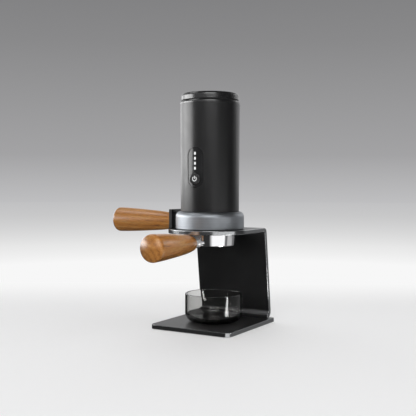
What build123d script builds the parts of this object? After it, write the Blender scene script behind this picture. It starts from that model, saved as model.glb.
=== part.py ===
from build123d import *
from math import asin, atan2, cos, pi, sin, sqrt, tan
import os

os.makedirs("parts", exist_ok=True)

# Sizes are in millimetres. The floor is z = 0 and the machine's axis is x = y = 0.
# The control panel and the portafilter point to -Y, the side handle to -X, the stand's wall is at +Y.

# Clearances
slip = 0.1  # between fixed pieces that nest in each other
run_gap = 0.3  # between pieces that move past each other

# Stand
plate_t = 5.0
base_width = 110.4
base_front = 50.9  # from the axis to the front edge
base_back = 69.5  # from the axis to the back edge
base_corner_r = 8.0
base_back_corner_r = 1.5
pad_t = 2.0
pad_proud = 0.75
pad_margin = 7.0
pad_corner_r = 6.0
stand_top = 121.5
shelf_margin = 9.0  # beyond the collar
wall_top_y = 54.5  # back face of the wall, at the top
top_bend_r = 1.0
foot_bend_r = 4.0
foot_flat = 1.5
stand_soft = 0.6
edge_soft = 0.4
foot_screw_pitch = 34.0
foot_screw_r = 1.5
foot_screw_head_r = 2.8
foot_screw_head_h = 1.6
foot_screw_bite = 4.0
foot_screw_inset = 3.5  # from the toe of the foot

# Collar and brew head
seat_pad_t = 0.6
seat_pad_inset = 0.8
collar_step = 6.28  # beyond the body
collar_wall = 2.2
collar_h = 20.8
collar_round = 6.0
collar_flange_t = 4.0
bayonet_wall = 2.4
bayonet_h = 9.4
ledge_t = 3.0
lug_count = 3
lug_angle = 34.0
lug_t = 3.0
lug_reach = 3.3  # beyond the holder's wall
entry_angle = 46.0
turn_angle = 45.0
gasket_inset = 0.8  # from the holder's outside
gasket_width = 3.6
gasket_h = 3.2
gasket_proud = 1.6
screen_inset = 1.8  # from the gasket
screen_depth = 3.2
screen_t = 0.8
screen_hole_r = 0.9
screen_hole_ring_r = 16.0
screen_hole_count = 12
screen_screw_r = 1.6
screen_screw_head_r = 4.0
screen_screw_head_h = 1.8
screen_screw_bite = 4.5
collar_screw_count = 3
collar_screw_start = 30.0  # angle of the first, from +X
collar_screw_inset = 3.6  # from the body's bore
collar_screw_edge = 5.0  # to the eye in the collar's flange
collar_screw_r = 1.5
collar_screw_head_r = 2.8
collar_screw_head_h = 2.2
collar_screw_bite = 3.2

# Portafilter
holder_taper = 1.3
holder_drop = 15.1  # below the stand's top plate
holder_wall = 2.7
holder_lip = 2.1
holder_lip_t = 2.0
holder_round = 1.2
basket_rim_t = 0.8
basket_rim_overlap = 1.9
basket_wall = 0.8
basket_depth = 23.0
basket_taper = 0.9
basket_hole_r = 0.8
basket_hole_pitch = 6.0
basket_hole_field_r = 21.0
clip_wire_r = 0.32
clip_gap_angle = 40.0
clip_drop = 9.0  # below the holder's rim
pf_axis_z = 106.2
neck_length = 12.4  # from the holder's wall to the washer
neck_r = 5.9
neck_waist_r = 5.4
neck_flare = 13.0  # half width where the neck meets the holder
neck_flare_drop = 6.6  # half height there
neck_flare_length = 5.0
handle_washer_t = 1.0
handle_washer_r = 6.2
pf_stud_r = 2.5
pf_stud_reach = 52.0  # into the grip
pf_grip_length = 86.3
pf_grip_start_r = 9.3
pf_grip_mid = 30.3

# Side handle
side_axis_z = 129.8
bracket_reach = 11.0  # beyond the collar
bracket_plate_t = 4.0
bracket_plate_width = 22.0
bracket_web_width = 11.0
bracket_arm_width = 16.0
bracket_arm_t = 3.6
bracket_top = 144.7
bracket_lip = 1.9  # in front of the shelf's rim
bracket_round = 1.2
side_stud_r = 3.0
side_stud_bite = 2.0
side_stud_reach = 62.0
side_grip_length = 90.3
side_grip_start_r = 9.4
side_grip_mid = 30.3
grip_mid_r = 13.0
grip_belly_r = 15.8
grip_dome = 6.0
grip_edge_r = 4.0

# Machine body
body_r_bottom = 35.72
body_flare = 1.0  # wider at the top
body_h = 131.1
body_wall = 2.12
body_soft = 0.5
ring_h = 3.8
ring_round = 2.4
ring_spigot_h = 2.0
seal_t = 1.0
seal_inset = 0.8  # from the lid's side
lid_inset = 1.52  # from the ring's side
lid_h = 8.2
lid_round = 3.5
lid_top_t = 3.0
lid_plug_h = 12.0
lid_plug_wall = 2.0
lid_plug_flange = 1.5

# Control panel
panel_width = 22.2
panel_h = 49.3
panel_bottom = 171.7
panel_rim = 1.0
panel_recess = 0.4
panel_sink = 0.2  # of the rim's face, below the shell
panel_t = 3.8  # at its sides
led_width = 2.9
led_h = 4.3
led_count = 4
led_pitch = 5.9
led_top_z = 213.0
button_r = 7.1
button_proud = 1.2
button_soft = 0.8
button_flange = 1.0
button_flange_t = 0.8
button_flange_gap = 0.2
button_travel = 1.0
board_t = 1.6
board_width = 26.0
board_clear_top = 2.0
switch_size = 6.0
switch_t = 1.5

# Inside the body
floor_t = 4.0
deck_t = 3.0
spine_t = 3.0
spine_gap = 0.6  # to the cells
tray_z = 160.0
tray_t = 3.0
cell_r = 9.2
cell_length = 50.0
cell_margin = 2.3  # to the edge of the tray
cell_gap = 0.8  # between neighbours
cell_button_r = 3.0
cell_button_h = 1.2
tank_gap = 2.1  # of air between the tank and the shell
tank_wall = 1.9
tank_floor_t = 2.0
tank_floor_z = 222.0
heater_overlap = 0.4  # under the tank's wall
heater_t = 2.5
heater_eye_r = 5.0
probe_r = 2.0
probe_length = 9.0
probe_x = 16.0
probe_y = -14.0
pump_gap = 1.0  # to the spine and the tray
pump_head_width = 29.0
pump_head_depth = 15.8
pump_head_h = 17.2
pump_head_shift = 3.5
pump_head_back = 5.8  # behind the motor's axis
pump_head_round = 4.0
motor_r = 10.0
motor_h = 34.0
motor_cap_r = 6.0
motor_cap_h = 3.0
tube_r = 2.4
tube_bore_r = 1.4
tube_bend_r = 5.0
tube_drop = 16.0  # below the tank's floor before it turns
tube_x = 14.0
outlet_step = 4.0  # in front of the motor's axis
outlet_bite = 3.0
port_width = 9.0
port_h = 3.2
port_depth = 8.0
port_wall = 0.35
port_inset = 0.5
port_z = 154.0
port_board_width = 14.0
port_board_depth = 10.0

# Glass cup
cup_r = 35.6
cup_h = 35.0
cup_y = 9.9
cup_wall = 2.3
cup_floor = 4.5
cup_round = 11.0
cup_inner_round = 8.5
cup_rim_round = 0.8

# Heights that follow from the sizes above
base_top = pad_proud + plate_t
plate_bottom = stand_top - plate_t
collar_bottom = stand_top + seat_pad_t
collar_top = collar_bottom + collar_h
head_bottom = collar_bottom + bayonet_h
head_top = collar_top - collar_flange_t
body_top = collar_top + body_h
ring_top = body_top + ring_h
lid_bottom = ring_top + seal_t
lid_top = lid_bottom + lid_h
gasket_bottom = head_bottom - gasket_proud
basket_rim_top = gasket_bottom - run_gap
holder_top = basket_rim_top - basket_rim_t
holder_bottom = plate_bottom - holder_drop
lug_bottom = collar_bottom + ledge_t + run_gap
floor_top = collar_top + floor_t
deck_top = tank_floor_z - heater_t
deck_bottom = deck_top - deck_t
tray_top = tray_z + tray_t
pump_head_top = floor_top + pump_head_h
tank_rim = body_top - ring_spigot_h

# Radii and places that follow from the sizes above
body_r_top = body_r_bottom + body_flare
body_bore_r = body_r_bottom - body_wall
mouth_r = body_bore_r - tank_gap - tank_wall
lid_r = body_r_top - lid_inset
seal_r = lid_r - seal_inset
heater_r = mouth_r + heater_overlap
collar_r = body_r_bottom + collar_step
collar_bore_r = collar_r - collar_wall
collar_screw_circle_r = body_bore_r - collar_screw_inset
collar_eye_r = collar_screw_circle_r - collar_screw_edge
stand_r = collar_r + shelf_margin
bracket_face_x = collar_r + bracket_reach
bracket_bottom = collar_bottom - bracket_lip
wall_foot_y = base_back
pad_width = base_width - 2 * pad_margin
pad_length = base_back + base_front - 2 * pad_margin
pocket_r = collar_bore_r - slip - bayonet_wall
lug_r = pocket_r - 2 * run_gap
holder_r = lug_r - lug_reach
holder_bottom_r = holder_r - holder_taper
ledge_r = holder_r + 2 * run_gap
gasket_r_out = holder_r - gasket_inset
gasket_r_in = gasket_r_out - gasket_width
screen_r = gasket_r_in - screen_inset
seat_hole_r = pocket_r + run_gap
holder_bore_r = holder_r - holder_wall
washer_l = holder_bottom_r + neck_length
dome_r = (grip_belly_r**2 + grip_dome**2) / (2 * grip_dome)
dome_angle = asin(grip_belly_r / dome_r)
pf_grip_l = washer_l + handle_washer_t
panel_center_z = panel_bottom + panel_h / 2
button_z = panel_bottom + panel_width / 2
panel_shell_r = body_r_bottom + body_flare * (panel_center_z - collar_top) / body_h
panel_face_r = panel_shell_r - panel_sink
panel_inner_r = panel_face_r - panel_recess
panel_back_y = sqrt(panel_face_r**2 - (panel_width / 2) ** 2) - panel_t
button_back_y = panel_back_y - button_flange_gap - button_flange_t
board_face_y = button_back_y - button_travel - run_gap - switch_t
lean = atan2(wall_foot_y - wall_top_y, stand_top - base_top)
foot_tangent = (foot_bend_r + plate_t) * tan((pi / 2 + lean) / 2)
toe_y = wall_foot_y - foot_tangent - foot_flat
foot_screw_y = toe_y + foot_screw_inset
basket_gap = 2 * (clip_wire_r + slip)
basket_r = holder_bore_r - basket_gap
basket_floor = basket_rim_top - basket_depth
port_board_z = port_z - port_h / 2 - board_t
port_board_y = body_bore_r - slip - port_board_depth / 2 - 2 * port_inset
led_centres = [(0, led_top_z - row * led_pitch) for row in range(led_count)]
cell_circle_r = body_bore_r - slip - cell_margin - cell_r
cell_turn = 2 * asin((cell_r + cell_gap / 2) / cell_circle_r)
cell_side_x = cell_circle_r * sin(cell_turn)
cell_side_y = cell_circle_r * cos(cell_turn)
cell_centres = [(0, cell_circle_r), (cell_side_x, cell_side_y), (-cell_side_x, cell_side_y)]
spine_width = 2 * (cell_side_x - cell_r - spine_gap)
spine_y = cell_circle_r - cell_r - spine_gap - spine_t
pump_y = spine_y - pump_gap - motor_r
pump_head_back_y = pump_y + pump_head_back
outlet_y = pump_y - outlet_step
tray_front_y = pump_head_back_y + pump_gap


def keep(piece, name):
    """Label a finished piece and write its file."""
    piece.part.label = name
    export_step(piece.part, f"parts/{name}.step")


# Base plate, with a shallow pocket below for the pad and three counterbored screw holes
with BuildPart() as base_plate:
    with BuildSketch(Plane.XY.offset(pad_proud)) as outline:
        with Locations((0, (base_back - base_front) / 2)):
            Rectangle(base_width, base_back + base_front)
        fillet(outline.vertices().group_by(Axis.Y)[0], radius=base_corner_r)
        fillet(outline.vertices().group_by(Axis.Y)[-1], radius=base_back_corner_r)
    extrude(amount=plate_t)
    fillet(base_plate.faces().sort_by(Axis.Z)[-1].edges(), radius=edge_soft)
    with BuildSketch(Plane.XY.offset(pad_proud)) as pocket:
        with Locations((0, (base_back - base_front) / 2)):
            RectangleRounded(pad_width + 2 * slip, pad_length + 2 * slip, pad_corner_r)
    extrude(amount=pad_t - pad_proud, mode=Mode.SUBTRACT)
    with BuildSketch(Plane.XY.offset(pad_t)) as heads:
        with Locations((0, foot_screw_y)):
            with GridLocations(foot_screw_pitch, 1, 3, 1):
                Circle(foot_screw_head_r + slip)
    extrude(amount=foot_screw_head_h, mode=Mode.SUBTRACT)
    with BuildSketch(Plane.XY.offset(pad_t)) as shanks:
        with Locations((0, foot_screw_y)):
            with GridLocations(foot_screw_pitch, 1, 3, 1):
                Circle(foot_screw_r + slip)
    extrude(amount=plate_t, mode=Mode.SUBTRACT)
keep(base_plate, "base_plate")

# Anti-slip pad that the whole machine stands on
with BuildPart() as base_pad:
    with BuildSketch():
        with Locations((0, (base_back - base_front) / 2)):
            RectangleRounded(pad_width, pad_length, pad_corner_r)
    extrude(amount=pad_t)
keep(base_pad, "base_pad")

# Stand: one bent plate, round at the front of its shelf, with a short toe that lies on the base
with BuildPart() as stand_frame:
    with BuildSketch(Plane.YZ):
        with BuildLine():
            FilletPolyline(
                (-stand_r, stand_top),
                (wall_top_y, stand_top),
                (wall_foot_y, base_top),
                (toe_y, base_top),
                radius=(top_bend_r + plate_t, foot_bend_r + plate_t),
            )
            offset(amount=plate_t, side=Side.RIGHT)
        make_face()
    extrude(amount=stand_r, both=True)
    with BuildSketch():
        Circle(stand_r)
        with Locations((0, base_back)):
            Rectangle(2 * stand_r, 2 * base_back)
    extrude(amount=stand_top, mode=Mode.INTERSECT)
    sides = stand_frame.faces().filter_by(Axis.X)
    front = stand_frame.faces().filter_by(GeomType.CYLINDER).sort_by(Axis.Y)[:1]
    fillet((sides + front).edges() - stand_frame.edges().filter_by(Axis.Z), radius=stand_soft)
    with BuildSketch(Plane.XY.offset(plate_bottom)):
        Circle(seat_hole_r)
    extrude(amount=plate_t, mode=Mode.SUBTRACT)
    with BuildSketch(Plane.XY.offset(base_top)):
        with Locations((0, foot_screw_y)):
            with GridLocations(foot_screw_pitch, 1, 3, 1):
                Circle(foot_screw_r + slip)
    extrude(amount=foot_screw_bite, mode=Mode.SUBTRACT)
keep(stand_frame, "stand_frame")

# Screws that come up through the base into the stand's toe
with BuildPart() as foot_screws:
    with BuildSketch(Plane.XY.offset(pad_t)):
        with Locations((0, foot_screw_y)):
            with GridLocations(foot_screw_pitch, 1, 3, 1):
                Circle(foot_screw_head_r)
    extrude(amount=foot_screw_head_h)
    with BuildSketch(Plane.XY.offset(pad_t)):
        with Locations((0, foot_screw_y)):
            with GridLocations(foot_screw_pitch, 1, 3, 1):
                Circle(foot_screw_r)
    extrude(amount=base_top - pad_t + foot_screw_bite)
keep(foot_screws, "foot_screws")

# Thin rubber ring between the stand's shelf and the collar
with BuildPart() as seat_pad:
    with BuildSketch(Plane.XY.offset(stand_top)):
        Circle(collar_r - seat_pad_inset)
        Circle(seat_hole_r, mode=Mode.SUBTRACT)
    extrude(amount=seat_pad_t)
keep(seat_pad, "seat_pad")

# Collar: aluminium ring with a rounded shoulder, flanged inward at the top to carry the body
with BuildPart() as collar:
    with BuildSketch(Plane.XZ) as section:
        with BuildLine():
            Polyline(
                (collar_bore_r, collar_bottom),
                (collar_r, collar_bottom),
                (collar_r, collar_top),
                (collar_eye_r, collar_top),
                (collar_eye_r, head_top),
                (collar_bore_r, head_top),
                close=True,
            )
        make_face()
        fillet(section.vertices().group_by(Axis.Y)[-1].sort_by(Axis.X)[-1], radius=collar_round)
        chamfer(section.vertices().group_by(Axis.Y)[0].sort_by(Axis.X)[-1], length=edge_soft)
    revolve(axis=Axis.Z)
    with BuildSketch(Plane.XY.offset(head_top)):
        with PolarLocations(collar_screw_circle_r, collar_screw_count, start_angle=collar_screw_start):
            Circle(collar_screw_r + slip)
    extrude(amount=collar_flange_t, mode=Mode.SUBTRACT)
    with BuildSketch(Plane.YZ):
        with Locations((0, side_axis_z)):
            Circle(side_stud_r + slip)
    extrude(amount=-collar_r, mode=Mode.SUBTRACT)
keep(collar, "collar")

# Bayonet ring inside the collar: ledges for the portafilter's lugs, with entries between them
with BuildPart() as bayonet_ring:
    with BuildSketch(Plane.XY.offset(collar_bottom)):
        Circle(collar_bore_r - slip)
        Circle(pocket_r, mode=Mode.SUBTRACT)
    extrude(amount=bayonet_h)
    with BuildSketch(Plane.XY.offset(collar_bottom)):
        Circle(pocket_r + slip)
        Circle(ledge_r, mode=Mode.SUBTRACT)
        with PolarLocations(0, lug_count, start_angle=270 - turn_angle):
            with BuildLine():
                entry = CenterArc((0, 0), pocket_r, -entry_angle / 2, entry_angle)
                Polyline(entry @ 1, (0, 0), entry @ 0)
            make_face(mode=Mode.SUBTRACT)
    extrude(amount=ledge_t)
keep(bayonet_ring, "bayonet_ring")

# Brew head: the water block above the coffee, with a groove for the gasket and the water way
with BuildPart() as head_block:
    with BuildSketch(Plane.XY.offset(head_bottom)):
        Circle(collar_bore_r - slip)
    extrude(amount=head_top - head_bottom)
    with BuildSketch(Plane.XY.offset(head_bottom)):
        Circle(gasket_r_out + slip)
        Circle(gasket_r_in - slip, mode=Mode.SUBTRACT)
    extrude(amount=gasket_h - gasket_proud, mode=Mode.SUBTRACT)
    with BuildSketch(Plane.XY.offset(head_bottom)):
        Circle(screen_screw_r + slip)
    extrude(amount=screen_screw_bite, mode=Mode.SUBTRACT)
    with BuildSketch(Plane.XY.offset(head_bottom)):
        with Locations((0, outlet_y)):
            Circle(tube_bore_r)
    extrude(amount=head_top - head_bottom, mode=Mode.SUBTRACT)
    with BuildSketch(Plane.XY.offset(head_top - outlet_bite)):
        with Locations((0, outlet_y)):
            Circle(tube_r + slip)
    extrude(amount=outlet_bite, mode=Mode.SUBTRACT)
keep(head_block, "head_block")

# Rubber gasket that the basket's rim is drawn up to
with BuildPart() as brew_gasket:
    with BuildSketch(Plane.XY.offset(gasket_bottom)):
        Circle(gasket_r_out)
        Circle(gasket_r_in, mode=Mode.SUBTRACT)
    extrude(amount=gasket_h)
keep(brew_gasket, "brew_gasket")

# Shower screen: a pierced dish under the brew head
with BuildPart() as shower_screen:
    with BuildSketch(Plane.XY.offset(head_bottom - screen_depth)):
        Circle(screen_r)
    extrude(amount=screen_depth)
    with BuildSketch(Plane.XY.offset(head_bottom - screen_depth + screen_t)):
        Circle(screen_r - screen_t)
        Circle(screen_screw_head_r, mode=Mode.SUBTRACT)
    extrude(amount=screen_depth - screen_t, mode=Mode.SUBTRACT)
    with BuildSketch(Plane.XY.offset(head_bottom - screen_depth)):
        Circle(screen_screw_r + slip)
        with PolarLocations(screen_hole_ring_r, screen_hole_count):
            Circle(screen_hole_r)
        with PolarLocations(screen_hole_ring_r / 2, screen_hole_count // 2):
            Circle(screen_hole_r)
    extrude(amount=screen_depth, mode=Mode.SUBTRACT)
keep(shower_screen, "shower_screen")

# Screw in the middle of the shower screen
with BuildPart() as shower_screw:
    with BuildSketch(Plane.XY.offset(head_bottom - screen_depth)):
        Circle(screen_screw_head_r)
    extrude(amount=-screen_screw_head_h)
    fillet(shower_screw.faces().sort_by(Axis.Z)[0].edges(), radius=edge_soft)
    with BuildSketch(Plane.XY.offset(head_bottom - screen_depth)):
        Circle(screen_screw_r)
    extrude(amount=screen_depth + screen_screw_bite)
keep(shower_screw, "shower_screw")

# Screws that hold the chassis down on the collar
with BuildPart() as collar_screws:
    with BuildSketch(Plane.XY.offset(floor_top)):
        with PolarLocations(collar_screw_circle_r, collar_screw_count, start_angle=collar_screw_start):
            Circle(collar_screw_head_r)
    extrude(amount=collar_screw_head_h)
    with BuildSketch(Plane.XY.offset(floor_top)):
        with PolarLocations(collar_screw_circle_r, collar_screw_count, start_angle=collar_screw_start):
            Circle(collar_screw_r)
    extrude(amount=-(floor_t + collar_screw_bite))
keep(collar_screws, "collar_screws")

# Bracket of the side handle: end plate, web and an arm that hooks over the collar's shoulder
with BuildPart() as handle_bracket:
    with BuildSketch(Plane.YZ.offset(-bracket_face_x)):
        with Locations((0, (bracket_top + bracket_bottom) / 2)):
            RectangleRounded(bracket_plate_width, bracket_top - bracket_bottom, bracket_round)
    extrude(amount=bracket_plate_t)
    with BuildSketch(Plane.XY.offset(bracket_bottom)):
        Circle(stand_r + run_gap)
        Rectangle(2 * (stand_r + run_gap), bracket_plate_width, align=(Align.CENTER, Align.MIN))
    extrude(amount=bracket_lip, mode=Mode.SUBTRACT)
    with BuildSketch(Plane.YZ.offset(-bracket_face_x + bracket_plate_t)):
        with Locations((0, (bracket_top + collar_bottom) / 2)):
            Rectangle(bracket_web_width, bracket_top - collar_bottom)
        with Locations((0, bracket_top - bracket_arm_t / 2)):
            Rectangle(bracket_arm_width, bracket_arm_t)
    extrude(amount=bracket_face_x - bracket_plate_t - body_r_bottom)
    with BuildSketch(Plane.XZ) as collar_section:
        with Locations((0, collar_top + slip)):
            Rectangle(collar_r + slip, 2 * collar_h, align=(Align.MIN, Align.MAX))
        fillet(collar_section.vertices().sort_by(Axis.X)[-2:].sort_by(Axis.Y)[-1], radius=collar_round + slip)
    revolve(axis=Axis.Z, mode=Mode.SUBTRACT)
    with BuildSketch(Plane.XZ) as body_section:
        with Locations((0, collar_top)):
            Rectangle(body_r_bottom + 2 * slip, collar_h, align=(Align.MIN, Align.MIN))
    revolve(axis=Axis.Z, mode=Mode.SUBTRACT)
    with BuildSketch(Plane.YZ):
        with Locations((0, side_axis_z)):
            Circle(side_stud_r + slip)
    extrude(amount=-bracket_face_x, mode=Mode.SUBTRACT)
keep(handle_bracket, "handle_bracket")

# Threaded rod that clamps the side grip and its bracket to the collar
with BuildPart() as side_stud:
    with BuildSketch(Plane.YZ.offset(-(collar_r - side_stud_bite))):
        with Locations((0, side_axis_z)):
            Circle(side_stud_r)
    extrude(amount=-(bracket_face_x + side_stud_reach - collar_r + side_stud_bite))
keep(side_stud, "side_stud")


def turned_grip(direction, axis_z, start, length, start_r, mid, bore_r, bore_depth):
    """Turned wooden grip along a level axis: slim where it is held on, full at its blunt end."""
    line = Vector(*direction)
    lathe = Plane(origin=(0, 0, axis_z), x_dir=line, z_dir=line.cross(Vector(0, 0, 1)))
    with BuildPart() as grip:
        with BuildSketch(lathe) as section:
            with BuildLine():
                flank = Spline(
                    (start, start_r),
                    (start + mid, grip_mid_r),
                    (start + length - grip_dome, grip_belly_r),
                    tangents=((1, 0.22), (1, 0.02)),
                )
                middle = (start + length - dome_r + dome_r * cos(dome_angle / 2), dome_r * sin(dome_angle / 2))
                dome = ThreePointArc(flank @ 1, middle, (start + length, 0))
                Polyline(dome @ 1, (start, 0), flank @ 0)
            make_face()
            fillet(section.vertices().sort_by_distance(flank @ 1)[0], radius=grip_edge_r)
        revolve(axis=Axis((0, 0, axis_z), line))
        with BuildSketch(Plane(origin=Vector(0, 0, axis_z) + line * start, z_dir=line)):
            Circle(bore_r)
        extrude(amount=bore_depth, mode=Mode.SUBTRACT)
    return grip


# Wooden grip of the side handle
side_grip = turned_grip(
    (-1, 0, 0),
    side_axis_z,
    bracket_face_x,
    side_grip_length,
    side_grip_start_r,
    side_grip_mid,
    side_stud_r + slip,
    side_stud_reach + slip,
)
keep(side_grip, "side_grip")

# Body shell: a slightly flared tube with openings for the panel and the charging port
with BuildPart() as body_shell:
    with BuildSketch(Plane.XZ) as section:
        with BuildLine():
            Polyline(
                (body_bore_r, collar_top),
                (body_r_bottom, collar_top),
                (body_r_top, body_top),
                (body_bore_r, body_top),
                close=True,
            )
        make_face()
        chamfer(section.vertices().group_by(Axis.Y)[0].sort_by(Axis.X)[-1], length=body_soft)
    revolve(axis=Axis.Z)
    with BuildSketch(Plane.XZ):
        with Locations((0, panel_center_z)):
            SlotOverall(panel_h, panel_width, rotation=90)
    extrude(amount=body_r_top, mode=Mode.SUBTRACT)
    with BuildSketch(Plane.XZ):
        with Locations((0, port_z)):
            SlotOverall(port_width + 2 * slip, port_h + 2 * slip)
    extrude(amount=-body_r_top, mode=Mode.SUBTRACT)
keep(body_shell, "body_shell")

# Gloss ring on top of the shell, with a spigot that holds the water tank down
with BuildPart() as top_ring:
    with BuildSketch(Plane.XZ) as section:
        with BuildLine():
            Polyline(
                (mouth_r, tank_rim),
                (body_bore_r - slip, tank_rim),
                (body_bore_r - slip, body_top),
                (body_r_top, body_top),
                (body_r_top, ring_top),
                (mouth_r, ring_top),
                close=True,
            )
        make_face()
        fillet(section.vertices().group_by(Axis.Y)[-1].sort_by(Axis.X)[-1], radius=ring_round)
    revolve(axis=Axis.Z)
keep(top_ring, "top_ring")

# Lid: rounded cap, hollow below
with BuildPart() as lid_cap:
    with BuildSketch(Plane.XY.offset(lid_bottom)):
        Circle(lid_r)
    extrude(amount=lid_h)
    fillet(lid_cap.faces().sort_by(Axis.Z)[-1].edges(), radius=lid_round)
    with BuildSketch(Plane.XY.offset(lid_bottom)):
        Circle(mouth_r + lid_plug_flange)
    extrude(amount=lid_h - lid_top_t, mode=Mode.SUBTRACT)
keep(lid_cap, "lid_cap")

# Plug of the lid: a cup that drops into the tank's mouth
with BuildPart() as lid_plug:
    with BuildSketch(Plane.XZ):
        with BuildLine():
            plug_r = mouth_r - run_gap
            plug_top = lid_top - lid_top_t
            Polyline(
                (0, lid_bottom - lid_plug_h),
                (plug_r, lid_bottom - lid_plug_h),
                (plug_r, lid_bottom),
                (mouth_r + lid_plug_flange - slip, lid_bottom),
                (mouth_r + lid_plug_flange - slip, plug_top),
                (plug_r - lid_plug_wall, plug_top),
                (plug_r - lid_plug_wall, lid_bottom - lid_plug_h + lid_plug_wall),
                (0, lid_bottom - lid_plug_h + lid_plug_wall),
                close=True,
            )
        make_face()
    revolve(axis=Axis.Z)
keep(lid_plug, "lid_plug")

# Flat seal under the lid
with BuildPart() as lid_seal:
    with BuildSketch(Plane.XY.offset(ring_top)):
        Circle(seal_r)
        Circle(mouth_r - run_gap + slip, mode=Mode.SUBTRACT)
    extrude(amount=seal_t)
keep(lid_seal, "lid_seal")

# Chassis: floor on the collar, battery tray, spine and the deck under the heater
with BuildPart() as chassis:
    with BuildSketch(Plane.XY.offset(collar_top)):
        Circle(body_bore_r - slip)
        with PolarLocations(collar_screw_circle_r, collar_screw_count, start_angle=collar_screw_start):
            Circle(collar_screw_r + slip, mode=Mode.SUBTRACT)
        with Locations((0, outlet_y)):
            Circle(tube_r + slip, mode=Mode.SUBTRACT)
    extrude(amount=floor_t)
    with BuildSketch(Plane.XY.offset(floor_top)):
        with Locations((0, spine_y)):
            Rectangle(spine_width, spine_t, align=(Align.CENTER, Align.MIN))
    extrude(amount=deck_bottom - floor_top)
    with BuildSketch(Plane.XY.offset(tray_z)):
        Circle(body_bore_r - slip)
        with Locations((0, tray_front_y)):
            Rectangle(
                2 * body_bore_r, body_bore_r, align=(Align.CENTER, Align.MIN), mode=Mode.INTERSECT
            )
    extrude(amount=tray_t)
    with BuildSketch(Plane.XY.offset(deck_bottom)):
        Circle(body_bore_r - slip)
        Circle(heater_eye_r, mode=Mode.SUBTRACT)
        with Locations((probe_x, probe_y)):
            Circle(probe_r + slip, mode=Mode.SUBTRACT)
        with Locations((0, run_gap - panel_back_y)):
            Rectangle(panel_width, body_bore_r, align=(Align.CENTER, Align.MAX), mode=Mode.SUBTRACT)
    extrude(amount=deck_t)
    with BuildSketch(Plane.XY.offset(floor_top)):
        with Locations((0, port_board_y)):
            Rectangle(port_board_width, port_board_depth)
    extrude(amount=port_board_z - floor_top)
keep(chassis, "chassis")

# Water tank: a cup under the top ring, drained through its floor
with BuildPart() as water_tank:
    with BuildSketch(Plane.XY.offset(tank_floor_z)):
        Circle(mouth_r + tank_wall)
    extrude(amount=tank_rim - tank_floor_z)
    with BuildSketch(Plane.XY.offset(tank_floor_z + tank_floor_t)):
        Circle(mouth_r)
    extrude(amount=tank_rim - tank_floor_z - tank_floor_t, mode=Mode.SUBTRACT)
    fillet(water_tank.faces().sort_by(Axis.Z)[1].outer_wire().edges(), radius=tank_floor_t)
    with BuildSketch(Plane.XY.offset(tank_floor_z)):
        Circle(tube_bore_r)
    extrude(amount=tank_floor_t, mode=Mode.SUBTRACT)
keep(water_tank, "water_tank")

# Ring heater between the deck and the tank's floor
with BuildPart() as heater_plate:
    with BuildSketch(Plane.XY.offset(deck_top)):
        Circle(heater_r)
        Circle(heater_eye_r, mode=Mode.SUBTRACT)
    extrude(amount=heater_t)
keep(heater_plate, "heater_plate")

# Temperature probe, through the deck against the heater
with BuildPart() as temperature_probe:
    with BuildSketch(Plane.XY.offset(deck_top)):
        with Locations((probe_x, probe_y)):
            Circle(probe_r)
    extrude(amount=-probe_length)
    fillet(temperature_probe.faces().sort_by(Axis.Z)[0].edges(), radius=probe_r / 2)
keep(temperature_probe, "temperature_probe")

# Battery cells, standing on the tray
with BuildPart() as battery_cells:
    with BuildSketch(Plane.XY.offset(tray_top)):
        with Locations(*cell_centres):
            Circle(cell_r)
    extrude(amount=cell_length)
    with BuildSketch(Plane.XY.offset(tray_top + cell_length)):
        with Locations(*cell_centres):
            Circle(cell_button_r)
    extrude(amount=cell_button_h)
keep(battery_cells, "battery_cells")

# Pump head on the chassis floor: inlet on top, outlet below
with BuildPart() as pump_head:
    with BuildSketch(Plane.XY.offset(floor_top)):
        with Locations((pump_head_shift, pump_head_back_y - pump_head_depth / 2)):
            RectangleRounded(pump_head_width, pump_head_depth, pump_head_round)
    extrude(amount=pump_head_h)
    with BuildSketch(Plane.XY.offset(pump_head_top)):
        with Locations((tube_x, pump_y)):
            Circle(tube_bore_r)
    extrude(amount=-pump_head_h / 2, mode=Mode.SUBTRACT)
    with BuildSketch(Plane.XY.offset(floor_top)):
        with Locations((0, outlet_y)):
            Circle(tube_bore_r)
    extrude(amount=pump_head_h / 2, mode=Mode.SUBTRACT)
keep(pump_head, "pump_head")

# Pump motor on its head
with BuildPart() as pump_motor:
    with BuildSketch(Plane.XY.offset(pump_head_top)):
        with Locations((0, pump_y)):
            Circle(motor_r)
    extrude(amount=motor_h)
    fillet(pump_motor.faces().sort_by(Axis.Z)[-1].edges(), radius=motor_cap_h / 2)
    with BuildSketch(Plane.XY.offset(pump_head_top + motor_h)):
        with Locations((0, pump_y)):
            Circle(motor_cap_r)
    extrude(amount=motor_cap_h)
keep(pump_motor, "pump_motor")

# Tube from the tank's floor, past the motor, down to the pump's inlet
with BuildPart() as tank_tube:
    with BuildLine() as route:
        FilletPolyline(
            (0, 0, tank_floor_z),
            (0, 0, tank_floor_z - tube_drop),
            (tube_x, pump_y, tank_floor_z - tube_drop),
            (tube_x, pump_y, pump_head_top),
            radius=tube_bend_r,
        )
    with BuildSketch(Plane(origin=route.line @ 0, z_dir=route.line % 0)):
        Circle(tube_r)
        Circle(tube_bore_r, mode=Mode.SUBTRACT)
    sweep()
keep(tank_tube, "tank_tube")

# Tube from the pump's outlet through the floor into the brew head
with BuildPart() as outlet_tube:
    with BuildSketch(Plane.XY.offset(floor_top)):
        with Locations((0, outlet_y)):
            Circle(tube_r)
            Circle(tube_bore_r, mode=Mode.SUBTRACT)
    extrude(amount=-(floor_top - head_top + outlet_bite))
keep(outlet_tube, "outlet_tube")

# Control board behind the panel, standing on the chassis floor
with BuildPart() as control_board:
    with BuildSketch(Plane.XZ.offset(board_face_y)):
        with Locations((0, floor_top)):
            Rectangle(board_width, deck_bottom - board_clear_top - floor_top, align=(Align.CENTER, Align.MIN))
    extrude(amount=-board_t)
keep(control_board, "control_board")

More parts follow.
